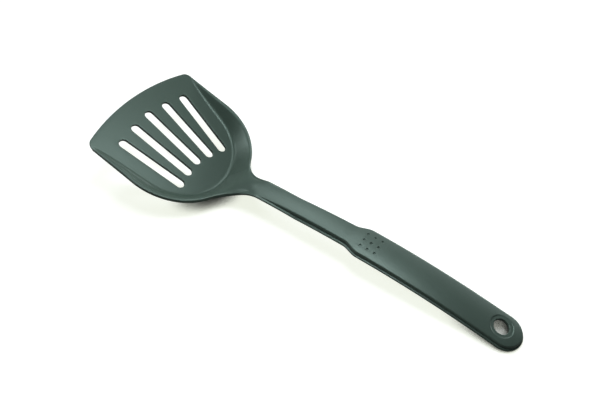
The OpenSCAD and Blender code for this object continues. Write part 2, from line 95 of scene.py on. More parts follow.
# A millimetre in metres, the sharpest angle that is shaded round, and how close points are welded.
MM = 0.001
SHARP_A = np.radians(35)
WELD, FLOOR_WELD = 0.001 * MM, 0.002 * MM

FLOOR_FALL = np.tan(TILT)
NECK_HALF_W = SHAFT_HALF_W + SHAFT_LIP_W
FILLET_Y = NECK_HALF_W + NECK_R
FILLET_X = np.sqrt((HALF_W + NECK_R)**2 - FILLET_Y**2)
NECK_START_A = np.arctan2(FILLET_Y, FILLET_X)
RIM_LOW_X = FILLET_X - RIM_LOW_BACK
NECK_END_X = FILLET_X + NECK_RUN
DIMPLE_X = SHOULDER_X + DIMPLE_BACK
TIP_X = SHOULDER_X + GRIP_L


def mix(a, b, k):
    """From a to b by the share k: a + (b - a) k."""
    return a + (b - a) * k


def smooth(k):
    """Nought to one, level at both ends."""
    k = np.clip(k, 0, 1)
    return k * k * (3 - 2 * k)


def unit(v):
    """Vectors of length one."""
    return v / np.maximum(np.linalg.norm(v, axis=-1, keepdims=True), 1e-12)


def ease(x, x0, z0, m0, x1, z1, m1):
    """The cubic with given heights and slopes at both ends."""
    l = x1 - x0
    k = (x - x0) / l
    return (z0 * (2 * k**3 - 3 * k**2 + 1) + m0 * l * (k**3 - 2 * k**2 + k)
            + z1 * (3 * k**2 - 2 * k**3) + m1 * l * (k**3 - k**2))


def bend(a, b, c, k):
    """The parabola from a to c that leaves and arrives along the lines through b."""
    return a * (1 - k)**2 + b * 2 * k * (1 - k) + c * k**2


def arch_a(x):
    """The slope angle of the handle's arch, a circle round a point under the crest."""
    return np.arcsin((x - CREST_X) / ARCH_R)


def edge_z(x):
    """Height of the handle's top edge, on that circle."""
    return CREST_Z - ARCH_R + ARCH_R * np.cos(arch_a(x))


def edge_rise(x):
    """Slope of the handle's top edge."""
    return -np.tan(arch_a(x))


def crown_h(half):
    """Rise of the crown over a half width: its square over twice the crown's radius."""
    return half**2 / (2 * CROWN_R)


def rim_half_w(x):
    """The rim's half width in plan: a fillet down to the neck's width."""
    inside = np.minimum(x, FILLET_X)
    return np.where(x < FILLET_X, FILLET_Y - np.sqrt(NECK_R**2 - (inside - FILLET_X)**2), NECK_HALF_W)


CUT_X = FILLET_X * CUT_SHARE
CUT_Y = float(rim_half_w(CUT_X))
CUT_A = np.arctan2(CUT_Y, CUT_X)
RIM_LINE_END_X = RIM_LOW_X * RIM_LINE_SHARE
FRONT_CENTRE = FRONT_R - FRONT_REACH
CORNER_Y = HALF_W - CORNER_R
CORNER_X = FRONT_CENTRE - np.sqrt((FRONT_R - CORNER_R)**2 - CORNER_Y**2)
WALL_START_X = (CORNER_X + WALL_SETBACK) * np.cos(TILT)
WALL_START_A = np.arctan2(HALF_W, WALL_START_X)
WALL_H = -WALL_START_X * (FLOOR_FALL - RIM_FALL)
CREASE_R = HALF_W - CREASE_GAP
SLOT_BACK = CREASE_R - CREASE_AHEAD - REAR_WEB
SLOT_L = SLOT_BACK + FRONT_REACH - FRONT_WEB
CREASE_X = -CREASE_AHEAD * np.cos(TILT)
CREASE_RX = CREASE_R * np.cos(TILT)
CREASE_SIDE_U = CREASE_AHEAD - CREASE_R * np.sin(SIDE_TAPER)
CREASE_SIDE_V = CREASE_R * np.cos(SIDE_TAPER)
CREASE_SIDE_A = np.arctan2(CREASE_SIDE_V, -CREASE_SIDE_U * np.cos(TILT))
RAMP_START_X = CREASE_X + CREASE_RX
RAMP_START_Z = -RAMP_START_X * FLOOR_FALL
BLEND_END_X = FILLET_X * BLEND_END_SHARE
BLEND_END_Z = edge_z(BLEND_END_X) + crown_h(SHAFT_HALF_W)
BLEND_END_RISE = edge_rise(BLEND_END_X)
BLEND_X = CUT_X - BEND_BACK
BLEND_L = BLEND_END_X - BLEND_X
RAMP_RISE = ((BLEND_END_Z - RAMP_START_Z - BLEND_END_RISE * BLEND_L / 2)
             / (BLEND_X - RAMP_START_X + BLEND_L / 2))
SHOULDER_START_X = SHOULDER_X - SHAFT_END_HALF_W / 2
DIMPLE_REACH = DIMPLE_PITCH * (DIMPLES - 1) / 2
THUMB_START_X = DIMPLE_X - DIMPLE_REACH - DIMPLE_D
THUMB_END_X = DIMPLE_X + DIMPLE_REACH + DIMPLE_D * 3
HANGING_X = TIP_X - HOLE_AHEAD - DISH_D
SIDE_FULL_X = NECK_END_X + (SHOULDER_X - NECK_END_X) * SIDE_FULL_SHARE
FLOOR_DOWN = np.array([-np.sin(TILT), 0, -np.cos(TILT)])


def rim_dist(a):
    """Distance in plan from the datum to the rim along rays: the line where the heel ends, the circle of the
    neck's fillet, the half circle of the blade's half width, and the straight sides."""
    a = np.abs(a)
    b = FILLET_X * np.cos(a) + FILLET_Y * np.sin(a)
    round_part = b - np.sqrt(np.maximum(b**2 - (HALF_W + NECK_R)**2 + NECK_R**2, 0))
    dist = np.where(a <= CUT_A, CUT_X / np.cos(a), round_part)
    dist = np.where(a >= NECK_START_A, HALF_W, dist)
    return np.where(a >= np.pi / 2, HALF_W / np.sin(np.maximum(a, 0.1)), dist)


def rim_z(x):
    """The rim's height: a straight fall, a low point, and the climb to the handle's top edge."""
    line_z = WALL_H - RIM_FALL * RIM_LINE_END_X
    fall = ease(x, RIM_LINE_END_X, line_z, -RIM_FALL, RIM_LOW_X, -RIM_LOW, 0)
    climb = ease(x, RIM_LOW_X, -RIM_LOW, 0, NECK_END_X, edge_z(NECK_END_X), edge_rise(NECK_END_X))
    z = np.where(x < RIM_LINE_END_X, WALL_H - RIM_FALL * x, fall)
    z = np.where(x < RIM_LOW_X, z, climb)
    return np.where(x < NECK_END_X, z, edge_z(np.maximum(x, NECK_END_X)))


def crease_dist(a):
    """Distance in plan from the datum to the wall's foot: an ellipse at the rear, straight at the sides."""
    a = np.abs(a)
    straight = ((CREASE_SIDE_V - CREASE_SIDE_U * np.tan(SIDE_TAPER))
                / (np.sin(a) + np.cos(a) * np.tan(SIDE_TAPER) / np.cos(TILT) + 1e-9))
    p = (np.cos(a) / CREASE_RX)**2 + (np.sin(a) / CREASE_R)**2
    q = -CREASE_X * np.cos(a) / CREASE_RX**2
    s = (CREASE_X / CREASE_RX)**2 - 1
    return np.where(a > CREASE_SIDE_A, straight, (-q + np.sqrt(q**2 - p * s)) / p)


def middle_z(x):
    """Height of the middle line: the straight ramp, a cubic that bends it over, then the crowned arch."""
    ramp = RAMP_START_Z + RAMP_RISE * (x - RAMP_START_X)
    blend_z = RAMP_START_Z + RAMP_RISE * (BLEND_X - RAMP_START_X)
    blend = ease(x, BLEND_X, blend_z, RAMP_RISE, BLEND_END_X, BLEND_END_Z, BLEND_END_RISE)
    z = np.where(x < BLEND_X, ramp, blend)
    return np.where(x < BLEND_END_X, z, edge_z(x) + crown_h(SHAFT_HALF_W))


def middle_rise(x):
    """Slope of the middle line."""
    k = np.clip((x - BLEND_X) / (BLEND_END_X - BLEND_X), 0, 1)
    return np.where(x < BLEND_END_X, mix(RAMP_RISE, BLEND_END_RISE, k), edge_rise(x))


def neck_lean(x):
    """Angle of the neck's cross-sections: upright at the heel, square to the arch at the shaft."""
    return mix(0, arch_a(NECK_END_X), (x - CUT_X) / (NECK_END_X - CUT_X))


def along_neck(at_heel, at_shaft, x):
    """A size that goes evenly from one value to another along the neck."""
    return mix(at_heel, at_shaft, np.clip((x - CUT_X) / (NECK_END_X - CUT_X), 0, 1))


def neck_thick(x):
    """The skin's thickness measured along the leaning cross-section."""
    return SKIN * np.sqrt(1 + (middle_rise(x) + np.tan(neck_lean(x)))**2)


def neck_z(x, y):
    """Height of the neck's top, also ahead of the neck: the rim, and a parabola across to the middle line."""
    wide = np.sqrt(np.maximum(HALF_W**2 - x**2, 1))
    half = np.where(x < HALF_W * np.cos(NECK_START_A), wide, rim_half_w(np.maximum(x, FILLET_X - NECK_R)))
    edge = rim_z(x)
    return edge + (middle_z(x) - edge) * (1 - np.minimum(1, np.abs(y) / (half - SHAFT_LIP_W))**2)


def neck_share(a):
    """One along the rays to the neck, and nought where the wall is straight."""
    return 1 - smooth((np.abs(a) - CUT_A) / (NECK_START_A * NECK_FORM_SHARE - CUT_A))


def cut_round(y):
    """How far the rounded lip falls short, where the heel ends: a quarter of a circle at its outer edge."""
    k = np.clip((y - (CUT_Y - WALL_LIP_ROUND)) / WALL_LIP_ROUND, 0, 1)
    return WALL_LIP_ROUND * (1 - np.sqrt(1 - k**2))


def cut_top(y):
    """Height of the neck's top where the heel ends, at a distance to the side."""
    y = np.abs(y)
    return neck_z(CUT_X, y) - cut_round(y)


def cut_under(y):
    """Height of the neck's underside there: under the crown, round the hollow's side, and under the lip."""
    y = np.abs(y)
    edge = rim_z(CUT_X)
    thick = neck_thick(CUT_X)
    half = CUT_Y - SHAFT_LIP_W
    crown = middle_z(CUT_X) - edge
    inner = half - SKIN
    under = np.where(y < inner, crown * (1 - (y / inner)**2) - thick,
                     mix(-thick, -np.maximum(WALL_LIP_T, thick), np.clip((y - inner) / SKIN, 0, 1)))
    outer = mix(-np.maximum(WALL_LIP_T, thick), -WALL_LIP_T,
                np.clip((y - half) / (SHAFT_LIP_W - WALL_LIP_ROUND), 0, 1))
    under = np.where(y > half, outer, under)
    return edge + under + cut_round(y)


def wall_fade(a):
    """One at the wall's front end and nought a short way behind it."""
    return 1 - smooth((WALL_START_A - np.abs(a)) / (WALL_START_A * WALL_FADE_SHARE))


def edge_round(a):
    """The radius of the lip's edges along rays: it runs out at the wall's front end."""
    return mix(WALL_LIP_ROUND, END_ROUND, wall_fade(a))


def soft_least(a, b):
    """Close to the smaller of two lengths, with no kink where they are equal: a b / (a^6 + b^6)^(1/6)."""
    return a * b / (a**6 + b**6) ** (1 / 6)


def fillet_run(width):
    """How far the fillet runs out of the crease, for the width in plan from the crease to the rim."""
    return soft_least(FILLET_RUN, width / 3)


def ray_tops(a):
    """Top points along rays from the datum: a fillet off the floor, the straight slope from the crease to
    the lip's foot, a roll-over and the lip. The fillet and the roll-over are parabolas between the lines on
    either side of them."""
    s = np.abs(a)
    on_cut = s < CUT_A - 1e-9
    rim = rim_dist(s)
    foot = crease_dist(s)
    width = rim - foot
    to_wall = smooth(s / NECK_START_A)
    fillet = fillet_run(width)
    lip = mix(BEND_BACK / 2, soft_least(WALL_LIP_W, width / 3), to_wall)
    roll = mix(lip - HEEL_ROLL_BACK, lip * WALL_ROLL_SHARE, to_wall)
    lip_rise = mix(middle_rise(CUT_X), 0, to_wall)
    rim_top = np.where(on_cut, cut_top(rim * np.sin(s)), rim_z(rim * np.cos(s)))
    fall = -np.cos(s) * FLOOR_FALL
    foot_z = foot * fall
    lip_foot = rim - lip
    lip_foot_z = rim_top - lip * mix(lip_rise, fall, wall_fade(s))
    slope = (lip_foot_z - foot_z) / (lip_foot - foot)
    lip_slope = (rim_top - lip_foot_z) / lip

    def pair(r, z):
        """A point of each ray's profile, from its distance and its height."""
        return np.stack([r, z], -1)[:, None, :]

    k = np.linspace(0, 1, FILLET_N + 1)[None, :, None]
    fillet_line = bend(pair(foot - fillet, foot_z - fillet * fall), pair(foot, foot_z),
                       pair(foot + fillet, foot_z + fillet * slope), k)
    k = np.linspace(0, 1, SLOPE_N + 1)[None, 1:-1, None]
    slope_line = mix(pair(foot + fillet, foot_z + fillet * slope),
                     pair(lip_foot - roll, lip_foot_z - roll * slope), k)
    k = np.linspace(0, 1, ROLL_N + 1)[None, :, None]
    roll_line = bend(pair(lip_foot - roll, lip_foot_z - roll * slope), pair(lip_foot, lip_foot_z),
                     pair(lip_foot + roll, lip_foot_z + roll * lip_slope), k)
    edge = np.where(on_cut, 0, edge_round(a))
    k = np.linspace(0, 1, LIP_N + 1)[None, 1:, None]
    lip_line = mix(pair(lip_foot + roll, lip_foot_z + roll * lip_slope),
                   pair(rim - edge, rim_top - edge * lip_slope), k)
    line = np.concatenate([fillet_line, slope_line, roll_line, lip_line], 1)
    # Towards the neck the slope takes on the neck's own form.
    x, y = line[..., 0] * np.cos(s)[:, None], line[..., 0] * np.sin(s)[:, None]
    up = np.clip((line[..., 0] - foot[:, None]) / (rim - foot)[:, None], 0, 1)
    share = up * (2 - up) * neck_share(s)[:, None]
    own = np.where(on_cut[:, None] & (line[..., 0] > rim[:, None] - 1e-6), rim_top[:, None], neck_z(x, y))
    line[..., 1] = mix(line[..., 1], own, share)
    tops = np.stack([line[..., 0] * np.cos(a)[:, None], line[..., 0] * np.sin(a)[:, None], line[..., 1]], -1)
    corner = np.stack([rim * np.cos(a), rim * np.sin(a), rim_top], -1)
    return tops, corner, on_cut


def grid_normals(p):
    """Square to a grid of points: the cross product of its differences along rows and columns."""
    return unit(np.cross(np.gradient(p, axis=1), np.gradient(p, axis=0)))


def head_loops(a):
    """Closed profiles along rays: the top outwards, round the lip, and the underside back."""
    tops, corner, on_cut = ray_tops(a)
    normals = grid_normals(tops)
    normals *= np.sign(normals[..., 2:3])
    fade = wall_fade(a)[:, None]
    under = mix(tops - normals * SKIN, tops + FLOOR_DOWN * SKIN, fade[..., None])
    under[:, 0] = tops[:, 0] + FLOOR_DOWN * SKIN
    near_foot = smooth(np.arange(FILLET_N) / FILLET_N)[None, :, None]
    under[:, :FILLET_N] = mix(tops[:, :FILLET_N] + FLOOR_DOWN * SKIN, under[:, :FILLET_N], near_foot)
    down = mix(np.array([0, 0, -WALL_LIP_T]), FLOOR_DOWN * SKIN, fade)
    low_corner = corner + down
    cut_low = corner.copy()
    cut_low[:, 2] = cut_under(corner[:, 1])
    low_corner = np.where(on_cut[:, None], cut_low, low_corner)
    # The lip's underside runs from where the roll-over ends to its lower edge.
    start = tops.shape[1] - 1 - LIP_N
    inwards = unit(tops[:, start] - corner)
    low_in = unit(under[:, start] - low_corner)
    drop = unit(low_corner - corner)
    size = np.where(on_cut, 0, edge_round(a))[:, None, None]
    turn = np.linspace(0, np.pi / 2, ROUND_N + 1)[None, :, None]
    top_arc = corner[:, None] + size * (inwards[:, None] * (1 - np.sin(turn))
                                        + drop[:, None] * (1 - np.cos(turn)))
    low_arc = low_corner[:, None] + size * (-drop[:, None] * (1 - np.cos(turn[:, ::-1]))
                                            + low_in[:, None] * (1 - np.sin(turn[:, ::-1])))
    down_edge = np.linspace(0, 1, 2 * ROUND_N + 2)[None, :, None]
    straight = mix(corner[:, None], low_corner[:, None], down_edge)
    outer = np.concatenate([top_arc, low_arc], 1)
    outer = np.where(on_cut[:, None, None], straight, outer)
    k = np.linspace(0, 1, LIP_N + 1)[None, :, None]
    inner_edge = under[:, start][:, None]
    under[:, start:] = np.where(on_cut[:, None, None], mix(inner_edge, low_corner[:, None], k),
                                mix(inner_edge, low_arc[:, -1][:, None], k))
    return np.concatenate([tops[:, :-1], outer, under[:, -2::-1]], 1)


def to_row(p):
    """From the datum, in millimetres, to the shared frame in metres: a turn round Y, and a shift."""
    p = np.asarray(p, float)
    x = p[..., 0] * np.cos(SETTLE) + p[..., 2] * np.sin(SETTLE) - MIDDLE_X
    z = p[..., 2] * np.cos(SETTLE) - p[..., 0] * np.sin(SETTLE) - BASE_Z
    return np.stack([x, p[..., 1], z], -1) / 1000


def mesh_piece(name, points, faces, node, weld=WELD):
    """A piece from points in metres and faces: welded, turned outwards, and shaded round up to an angle."""
    mesh = bpy.data.meshes.new(name)
    mesh.from_pydata(points.reshape(-1, 3).tolist(), [], faces)
    bm = bmesh.new()
    bm.from_mesh(mesh)
    bmesh.ops.remove_doubles(bm, verts=bm.verts, dist=weld)
    bmesh.ops.dissolve_degenerate(bm, edges=bm.edges, dist=weld)
    bmesh.ops.recalc_face_normals(bm, faces=bm.faces)
    bm.to_mesh(mesh)
    bm.free()
    mesh.polygons.foreach_set("use_smooth", np.ones(len(mesh.polygons), bool))
    mesh.set_sharp_from_angle(angle=SHARP_A)
    piece = bpy.data.objects.new(name, mesh)
    bpy.context.scene.collection.objects.link(piece)
    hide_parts(node)
    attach(piece, "root")
    return piece


def grid_faces(rows, cols, wrap_rows=False, wrap_cols=False, first=0):
    """Four-sided faces over a grid of points that is stored row by row."""
    i = np.arange(rows if wrap_rows else rows - 1)[:, None]
    j = np.arange(cols if wrap_cols else cols - 1)[None, :]
    a = i * cols + j
    b = i * cols + (j + 1) % cols
    c = (i + 1) % rows * cols + (j + 1) % cols
    d = (i + 1) % rows * cols + j
    return (np.stack([a, b, c, d], -1).reshape(-1, 4) + first).tolist()


def swept_piece(name, loops, node):
    """Closed profiles joined one to the next, with a flat cap at either end."""
    n, k = loops.shape[:2]
    faces = grid_faces(n, k, wrap_cols=True)
    faces.append(list(range(k)))
    faces.append([(n - 1) * k + j for j in range(k - 1, -1, -1)])
    return mesh_piece(name, to_row(loops), faces, node)


# The slotted floor: cells round the slots, which share their bounds.
PIVOT = SLOT_BACK + FAN_R
FRONT_TURN = np.arcsin(CORNER_Y / (FRONT_R - CORNER_R))
QUARTER = np.linspace(0, np.pi / 2, TURN_N)


def floor_foot(a):
    """Where the wall's fillet leaves the floor, in the floor's own plane."""
    foot = crease_dist(a)
    r = foot - fillet_run(rim_dist(a) - foot)
    return np.stack([r * np.cos(a) / np.cos(TILT), r * np.sin(a)], -1)


def on_floor(uv, drop):
    """From the floor's own plane to the datum's axes, a distance below the floor's top."""
    u, v = uv[..., 0], uv[..., 1]
    return np.stack([u * np.cos(TILT) - drop * np.sin(TILT), v, -u * np.sin(TILT) - drop * np.cos(TILT)], -1)


def floor_thick(uv):
    """The skin's thickness, thinned by the bevel under the front edge."""
    r = np.hypot(uv[..., 0] - FRONT_CENTRE, uv[..., 1])
    k = np.clip((r - (FRONT_R - BEVEL_L)) / BEVEL_L, 0, 1)
    return mix(SKIN, EDGE_T, k)


def fan_angle(uv):
    """Angle round the point from which the slots spread."""
    return np.arctan2(uv[..., 1], PIVOT - uv[..., 0])


def close_to(values, others, distance):
    """Which values lie within a distance of one of the others."""
    return np.min(np.abs(values[:, None] - others[None, :]), axis=1) < distance


def ray_angles():
    """The rays of the head, with one at each bound between two slots."""
    fine = np.linspace(-WALL_START_A, WALL_START_A, FINE_N)
    fan = fan_angle(floor_foot(fine))
    bounds = (np.arange(SLOTS - 1) - (SLOTS - 2) / 2) * SLOT_STEP
    rear = np.abs(fine) < REAR_A
    at_bounds = np.interp(bounds, fan[rear], fine[rear])
    # Where the heel ends, even steps across the crown and closer ones over the rounded lip.
    ys = np.concatenate([np.linspace(0, EVEN_SHARE, CUT_N) * CUT_Y,
                         CUT_Y - LIP_ROUND * (1 - np.sin(QUARTER[:-1]))])
    half = np.unique(np.round(np.concatenate([
        np.arctan2(ys, CUT_X), np.linspace(CUT_A, NECK_START_A, NECK_RAYS_N),
        np.linspace(NECK_START_A, WALL_START_A, WALL_RAYS_N)]), 9))
    rays = np.concatenate([-half[:0:-1], half])
    clear = ~close_to(rays, at_bounds, RAY_CLEARANCE)
    kept = close_to(np.abs(rays), np.array([NECK_START_A, CUT_A]), 1e-6)
    return np.sort(np.concatenate([rays[clear | kept], at_bounds])), at_bounds, bounds


RAYS, BOUND_RAYS, BOUND_FANS = ray_angles()


def front_line():
    """The front edge and its corners in the floor's plane, from the right wall to the left one: points, the
    directions outwards, how far the rounding reaches in, and the points that lie on the cells' bounds."""
    corner = np.linspace(np.pi / 2, FRONT_TURN, CORNER_N)
    right = np.stack([CORNER_X - CORNER_R * np.cos(corner), -CORNER_Y - CORNER_R * np.sin(corner)], -1)
    out_right = np.stack([-np.cos(corner), -np.sin(corner)], -1)
    # Where the line of each bound between two slots meets the front edge's circle.
    front_fans = []
    for f in BOUND_FANS:
        d = np.array([-np.cos(f), np.sin(f)])
        o = np.array([PIVOT - FRONT_CENTRE, 0])
        b = o @ d
        front_fans.append(o + d * (-b + np.sqrt(b * b - o @ o + FRONT_R**2)))
    bound_turns = [np.arctan2(p[1], -p[0]) for p in front_fans]
    turns = np.linspace(-FRONT_TURN, FRONT_TURN, FRONT_N)[1:-1]
    near = close_to(turns, np.array(bound_turns), TURN_CLEARANCE)
    turns = np.sort(np.concatenate([turns[~near], bound_turns]))
    arc = np.stack([FRONT_CENTRE - FRONT_R * np.cos(turns), FRONT_R * np.sin(turns)], -1)
    out_arc = np.stack([-np.cos(turns), np.sin(turns)], -1)
    left = right[::-1] * [1, -1]
    out_left = out_right[::-1] * [1, -1]
    start = np.array([WALL_START_X / np.cos(TILT), -HALF_W])
    side = mix(start, right[0], np.linspace(0, 1, FRONT_SIDE_N)[:-1, None])
    out_side = np.tile([0.0, -1.0], (len(side), 1))
    line = np.concatenate([side, right, arc, left, side[::-1] * [1, -1]])
    outward = np.concatenate([out_side, out_right, out_arc, out_left, -out_side])
    along = np.concatenate([[0], np.cumsum(np.linalg.norm(np.diff(line, axis=0), axis=1))])
    inset = FRONT_ROUND_OUT * smooth(np.minimum(along, along[-1] - along) / FRONT_ROUND_RUN)
    cuts = [int(np.argmin(np.linalg.norm(line - [p[0] + FRONT_CENTRE, p[1]], axis=1)))
            for p in front_fans]
    return line, outward, inset, cuts


def slotted_floor():
    """Each cell runs from its bound to a slot's round rim by straight lines square to the slot, over the
    rim's rounding, down the slot's wall and back out along the underside."""
    line, outward, inset, cuts = front_line()
    inner = line - outward * inset[:, None]
    feet = floor_foot(RAYS)
    ray_cuts = [int(np.argmin(np.abs(RAYS - b))) for b in BOUND_RAYS]
    points, faces, first = [], [], 0
    for k in range(SLOTS):
        f = (k - (SLOTS - 1) / 2) * SLOT_STEP
        rear_r = FAN_R - SLOT_SETBACK * abs(k - (SLOTS - 1) / 2)
        d = np.array([-np.cos(f), np.sin(f)])
        rear = np.array([PIVOT, 0]) + d * rear_r
        i0 = 0 if k == 0 else cuts[k - 1]
        i1 = len(line) - 1 if k == SLOTS - 1 else cuts[k]
        j0 = 0 if k == 0 else ray_cuts[k - 1]
        j1 = len(RAYS) - 1 if k == SLOTS - 1 else ray_cuts[k]
        front = inner[i0:i1 + 1]
        back = feet[j0:j1 + 1][::-1]
        sides = np.linspace(0, 1, BOUND_N)[1:-1, None]
        left = mix(front[-1], back[0], sides) if k < SLOTS - 1 else front[:0]
        right = mix(back[-1], front[0], sides) if k > 0 else front[:0]
        chain = np.concatenate([front, left, back, right])
        # The nearest point of the slot's middle line, and the direction out from it.
        t = np.clip((chain - rear) @ d, 0, SLOT_L)
        axis_point = rear + t[:, None] * d
        out = unit(chain - axis_point)
        r = SLOT_W / 2
        rim = axis_point + out * (r + SLOT_ROUND)
        rows, drops = [], []
        for q in np.linspace(0, 1, CELL_TOP_N):
            rows.append(mix(chain, rim, q))
            drops.append(np.zeros(len(chain)))
        for turn in QUARTER[1:]:
            rows.append(axis_point + out * (r + SLOT_ROUND * (1 - np.sin(turn))))
            drops.append(np.full(len(chain), SLOT_ROUND * (1 - np.cos(turn))))
        for turn in QUARTER[::-1]:
            row = axis_point + out * (r + SLOT_ROUND * (1 - np.sin(turn)))
            rows.append(row)
            drops.append(floor_thick(row) - SLOT_ROUND * (1 - np.cos(turn)))
        for q in np.linspace(1, 0, CELL_UNDER_N)[1:]:
            row = mix(chain, rim, q)
            rows.append(row)
            drops.append(floor_thick(row))
        grid = on_floor(np.array(rows), np.array(drops))
        points.append(grid.reshape(-1, 3))
        faces += grid_faces(len(rows), len(chain), wrap_cols=True, first=first)
        first += grid[..., 0].size
    # The outer edge: rounded along the front, plain where the walls stand.
    rim_uv, drops = [], []
    thick = floor_thick(inner)
    e = np.minimum(inset, FRONT_ROUND_DOWN)
    for turn in QUARTER:
        rim_uv.append(inner + outward * (inset * np.sin(turn))[:, None])
        drops.append(e * (1 - np.cos(turn)))
    for turn in QUARTER[::-1]:
        rim_uv.append(inner + outward * (inset * np.sin(turn))[:, None])
        drops.append(thick - e * (1 - np.cos(turn)))
    grid = on_floor(np.array(rim_uv), np.array(drops))
    points.append(grid.reshape(-1, 3))
    faces += grid_faces(len(rim_uv), len(line), first=first)
    first += grid[..., 0].size
    back = np.concatenate([line[-1:], feet[::-1], line[:1]])
    grid = on_floor(np.array([back, back]), np.array([np.zeros(len(back)), floor_thick(back)]))
    points.append(grid.reshape(-1, 3))
    faces += grid_faces(2, len(back), first=first)
    return mesh_piece("slotted_floor_skin", to_row(np.concatenate(points)), faces,
                      "slotted_floor", weld=FLOOR_WELD)


def top_half_w(x):
    """Half width of the handle's top: the shaft's slow taper, then the shoulder."""
    shaft = mix(SHAFT_HALF_W, SHAFT_END_HALF_W, np.clip((x - TAPER_X) / (SHOULDER_X - TAPER_X), 0, 1))
    return mix(shaft, GRIP_HALF_W, smooth((x - SHOULDER_X) / SHOULDER_L))


def lip_w(x):
    """Width of the handle's lip, which narrows over the shoulder."""
    return mix(SHAFT_LIP_W, GRIP_LIP_W, smooth((x - SHOULDER_X) / SHOULDER_L))


def side_step(x):
    """Height of the handle's side above its lip: it rises from the neck and falls to the tip."""
    rise = (SIDE_H - LIP_T) * np.clip((x - NECK_END_X) / (SIDE_FULL_X - NECK_END_X), 0, 1)
    run = mix(SIDE_H, TIP_SIDE_H, np.clip((x - SHOULDER_X) / (HANGING_X - SHOULDER_X), 0, 1)) - LIP_T
    return np.where(x < SIDE_FULL_X, rise, run)


def arc_rows(corner, start, end, count):
    """A rounded corner: from start to end round a corner point, as an elliptic quarter."""
    turn = np.linspace(0, np.pi / 2, count + 1)[None, :, None]
    return (corner[:, None] + (start - corner)[:, None] * (1 - np.sin(turn))
            + (end - corner)[:, None] * (1 - np.cos(turn)))


def half_sections(half, crown, step, lip, thick, lip_t, rounding, crown_n=CROWN_N):
    """Half cross-sections from the middle of the top to the middle of the underside: the crown, a parabola,
    then the rounded top edge, the side, a fillet, the lip with its rounded edges, and the hollow below."""
    n = len(half)

    def p(y, z):
        """A point of each cross-section."""
        return np.stack([np.broadcast_to(y, n), np.broadcast_to(z, n)], -1)

    edge = np.minimum(TOP_EDGE_ROUND, step * TOP_EDGE_SHARE)
    fillet = np.minimum(LIP_FILLET, step * LIP_FILLET_SHARE)
    out = half + WALL_DRAFT * step
    s_end = 1 - edge / half
    s = np.linspace(0, 1, crown_n + 1)[None, :] * s_end[:, None]
    top = np.stack([half[:, None] * s, crown[:, None] * (1 - s**2)], -1)
    start = p(half * s_end, crown * (1 - s_end**2))
    corner = p(half, 0)
    round_top = arc_rows(corner, start, p(half + WALL_DRAFT * edge, -edge), TOP_EDGE_N)[:, 1:]
    foot = p(out, -step)
    round_foot = arc_rows(foot, p(out - WALL_DRAFT * fillet, -step + fillet),
                          p(out + fillet + LIP_FILLET_TOE, -step), FOOT_N)
    k = np.linspace(0, 1, STRAIGHT_N)[None, 1:-1, None]
    side = mix(round_top[:, -1:], round_foot[:, :1], k)
    lip_corner = p(half + lip, -step)
    lip_edge = arc_rows(lip_corner, p(half + lip - rounding, -step),
                        p(half + lip, -step - rounding), LIP_EDGE_N)
    low_corner = p(half + lip, -step - lip_t)
    low_edge = arc_rows(low_corner, p(half + lip, -step - lip_t + rounding),
                        p(half + lip - rounding, -step - lip_t), LIP_EDGE_N)
    lip_top = mix(round_foot[:, -1:], lip_edge[:, :1], k)
    hollow = np.clip((step + lip_t - thick) / lip_t, 0, 1)
    inner = p(mix(half, half + WALL_DRAFT * step - SKIN, hollow), np.minimum(-step - lip_t, -thick))
    lip_low = mix(low_edge[:, -1:], inner[:, None], k)
    s = np.linspace(1, 0, crown_n + 1)[None, :]
    under = np.stack([(half - SKIN)[:, None] * s, crown[:, None] * (1 - s**2) - thick[:, None]], -1)
    inner_side = mix(inner[:, None], under[:, :1], k)
    return np.concatenate([top, round_top, side, round_foot, lip_top, lip_edge, low_edge, lip_low,
                           inner[:, None], inner_side, under], 1)


def both_sides(half):
    """A closed profile: the half, and its mirror image on the way back."""
    mirrored = half[:, -2:0:-1] * np.array([-1, 1])
    return np.concatenate([half, mirrored], 1)


def handle_loops(x, crown_n=CROWN_N):
    """Closed cross-sections of the neck and the handle, square to the arch."""
    on_neck = x < NECK_END_X
    neck_x = np.minimum(x, NECK_END_X)
    half = np.where(on_neck, rim_half_w(neck_x) - SHAFT_LIP_W, top_half_w(x))
    edge = np.where(on_neck, rim_z(neck_x), edge_z(x))
    crown = np.where(on_neck, middle_z(neck_x) - edge, crown_h(top_half_w(x)))
    step = np.where(on_neck, 0, side_step(x))
    lip = np.where(on_neck, SHAFT_LIP_W, lip_w(x))
    thick = np.where(on_neck, neck_thick(neck_x), SKIN)
    lean = np.where(on_neck, neck_lean(neck_x), arch_a(x))
    lip_t = np.where(on_neck, along_neck(WALL_LIP_T, LIP_T, neck_x), LIP_T)
    rounding = np.where(on_neck, along_neck(WALL_LIP_ROUND, LIP_ROUND, neck_x), LIP_ROUND)
    loop = both_sides(half_sections(half, crown, step, lip, thick, lip_t, rounding, crown_n))
    lean, edge, x = lean[:, None], edge[:, None], x[:, None]
    return np.stack([x + loop[..., 1] * np.sin(lean), loop[..., 0], edge + loop[..., 1] * np.cos(lean)], -1)


def handle_piece(node, x0, x1, count):
    """A stretch of the handle between two places along it."""
    return swept_piece(node + "_skin", handle_loops(np.linspace(x0, x1, count)), node)


def dimple_drop(along, across):
    """Depth of the nine small round hollows: flat in the middle, with a soft rim."""
    centres = (np.arange(DIMPLES) - (DIMPLES - 1) / 2) * DIMPLE_PITCH
    du = np.min(np.abs(along[..., None] - centres), -1)
    dv = np.min(np.abs(across[..., None] - centres), -1)
    past_flat = (np.hypot(du, dv) - DIMPLE_D * DIMPLE_FLAT_SHARE) / (DIMPLE_D * DIMPLE_RIM_SHARE)
    return DIMPLE_DEPTH * (1 - smooth(past_flat))


